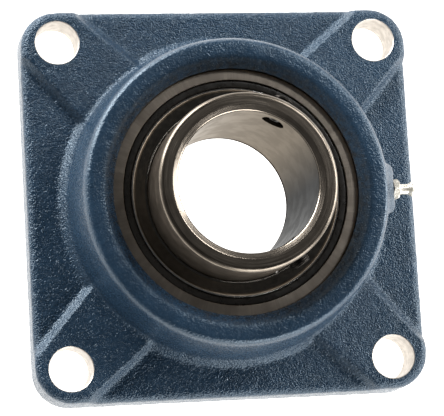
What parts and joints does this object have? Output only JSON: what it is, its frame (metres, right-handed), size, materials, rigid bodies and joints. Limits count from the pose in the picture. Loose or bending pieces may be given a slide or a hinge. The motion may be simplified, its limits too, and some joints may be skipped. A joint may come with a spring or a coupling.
{
  "type": "flange mount bearing",
  "caption": "Square flange bearing: painted cast-iron housing holding a self-aligning sealed ball bearing with a wide inner ring, set screws and a grease nipple.",
  "frame": {"origin": "centre of the mounting face, on the bore axis", "axes": "+Z along the bore from the mounting face towards the collar, +X towards the grease nipple"},
  "size_m": [0.175, 0.175, 0.0687],
  "materials": {
    "housing_paint": "dark blue paint over a fine cast surface",
    "ring_steel": "ground bearing steel",
    "ball_steel": "polished bearing steel",
    "cage_steel": "pressed steel sheet",
    "seal_rubber": "moulded black rubber",
    "flinger_coating": "black rubber-coated steel",
    "screw_steel": "blackened steel",
    "nipple_zinc": "bright zinc plating",
    "spring_steel": "drawn spring wire"
  },
  "bodies": {
    "housing": {"housing": "housing_paint", "grease_nipple_body": "nipple_zinc", "grease_nipple_spring": "spring_steel"},
    "outer_race": {"outer_ring": "ring_steel", "seal_front": "seal_rubber", "seal_rear": "seal_rubber"},
    "inner_race": {"inner_ring": "ring_steel", "flinger_front": "flinger_coating", "flinger_rear": "flinger_coating"},
    "cage": {"cage_half_front": "cage_steel", "cage_half_rear": "cage_steel", "cage_rivet_01": "cage_steel", "cage_rivet_02": "cage_steel", "cage_rivet_03": "cage_steel", "cage_rivet_04": "cage_steel", "cage_rivet_05": "cage_steel", "cage_rivet_06": "cage_steel", "cage_rivet_07": "cage_steel", "cage_rivet_08": "cage_steel", "cage_rivet_09": "cage_steel", "cage_rivet_10": "cage_steel"},
    "ball_01": {"ball_01": "ball_steel"},
    "ball_02": {"ball_02": "ball_steel"},
    "ball_03": {"ball_03": "ball_steel"},
    "ball_04": {"ball_04": "ball_steel"},
    "ball_05": {"ball_05": "ball_steel"},
    "ball_06": {"ball_06": "ball_steel"},
    "ball_07": {"ball_07": "ball_steel"},
    "ball_08": {"ball_08": "ball_steel"},
    "ball_09": {"ball_09": "ball_steel"},
    "ball_10": {"ball_10": "ball_steel"},
    "set_screw_1": {"set_screw_1": "screw_steel"},
    "set_screw_2": {"set_screw_2": "screw_steel"},
    "grease_ball": {"grease_nipple_ball": "ball_steel"}
  },
  "joints": [
    {"name": "swivel", "type": "hinge", "parent": "housing", "child": "outer_race", "pos_m": [0, 0, 0.029], "axis": [1, 0, 0], "range_deg": [-2, 2]},
    {"name": "shaft_spin", "type": "hinge", "parent": "outer_race", "child": "inner_race", "pos_m": [0, 0, 0.029], "axis": [0, 0, 1], "continuous": true},
    {"name": "cage_spin", "type": "hinge", "parent": "outer_race", "child": "cage", "pos_m": [0, 0, 0.029], "axis": [0, 0, 1], "continuous": true},
    {"name": "ball_01_spin", "type": "hinge", "parent": "cage", "child": "ball_01", "pos_m": [0.0425, 0, 0.029], "axis": [0, 0, 1], "continuous": true},
    {"name": "ball_02_spin", "type": "hinge", "parent": "cage", "child": "ball_02", "pos_m": [0.03438, 0.02498, 0.029], "axis": [0, 0, 1], "continuous": true},
    {"name": "ball_03_spin", "type": "hinge", "parent": "cage", "child": "ball_03", "pos_m": [0.01313, 0.04042, 0.029], "axis": [0, 0, 1], "continuous": true},
    {"name": "ball_04_spin", "type": "hinge", "parent": "cage", "child": "ball_04", "pos_m": [-0.01313, 0.04042, 0.029], "axis": [0, 0, 1], "continuous": true},
    {"name": "ball_05_spin", "type": "hinge", "parent": "cage", "child": "ball_05", "pos_m": [-0.03438, 0.02498, 0.029], "axis": [0, 0, 1], "continuous": true},
    {"name": "ball_06_spin", "type": "hinge", "parent": "cage", "child": "ball_06", "pos_m": [-0.0425, 0, 0.029], "axis": [0, 0, 1], "continuous": true},
    {"name": "ball_07_spin", "type": "hinge", "parent": "cage", "child": "ball_07", "pos_m": [-0.03438, -0.02498, 0.029], "axis": [0, 0, 1], "continuous": true},
    {"name": "ball_08_spin", "type": "hinge", "parent": "cage", "child": "ball_08", "pos_m": [-0.01313, -0.04042, 0.029], "axis": [0, 0, 1], "continuous": true},
    {"name": "ball_09_spin", "type": "hinge", "parent": "cage", "child": "ball_09", "pos_m": [0.01313, -0.04042, 0.029], "axis": [0, 0, 1], "continuous": true},
    {"name": "ball_10_spin", "type": "hinge", "parent": "cage", "child": "ball_10", "pos_m": [0.03438, -0.02498, 0.029], "axis": [0, 0, 1], "continuous": true},
    {"name": "set_screw_1_travel", "type": "slide", "parent": "inner_race", "child": "set_screw_1", "axis": [-0.454, -0.891, 0], "range_m": [-0.006, 0.003]},
    {"name": "set_screw_2_travel", "type": "slide", "parent": "inner_race", "child": "set_screw_2", "axis": [-0.5446, 0.8387, 0], "range_m": [-0.006, 0.003]},
    {"name": "grease_ball_lift", "type": "slide", "parent": "housing", "child": "grease_ball", "axis": [-1, 0, 0], "range_m": [0, 0.001], "stiffness_N_per_m": 1000, "deforming": ["grease_nipple_spring"]}
  ],
  "couplings": [
    {"joint": "cage_spin", "follows": "shaft_spin", "ratio": 0.4066},
    {"joint": "ball_01_spin", "follows": "shaft_spin", "ratio": -2.5838},
    {"joint": "ball_02_spin", "follows": "shaft_spin", "ratio": -2.5838},
    {"joint": "ball_03_spin", "follows": "shaft_spin", "ratio": -2.5838},
    {"joint": "ball_04_spin", "follows": "shaft_spin", "ratio": -2.5838},
    {"joint": "ball_05_spin", "follows": "shaft_spin", "ratio": -2.5838},
    {"joint": "ball_06_spin", "follows": "shaft_spin", "ratio": -2.5838},
    {"joint": "ball_07_spin", "follows": "shaft_spin", "ratio": -2.5838},
    {"joint": "ball_08_spin", "follows": "shaft_spin", "ratio": -2.5838},
    {"joint": "ball_09_spin", "follows": "shaft_spin", "ratio": -2.5838},
    {"joint": "ball_10_spin", "follows": "shaft_spin", "ratio": -2.5838}
  ]
}
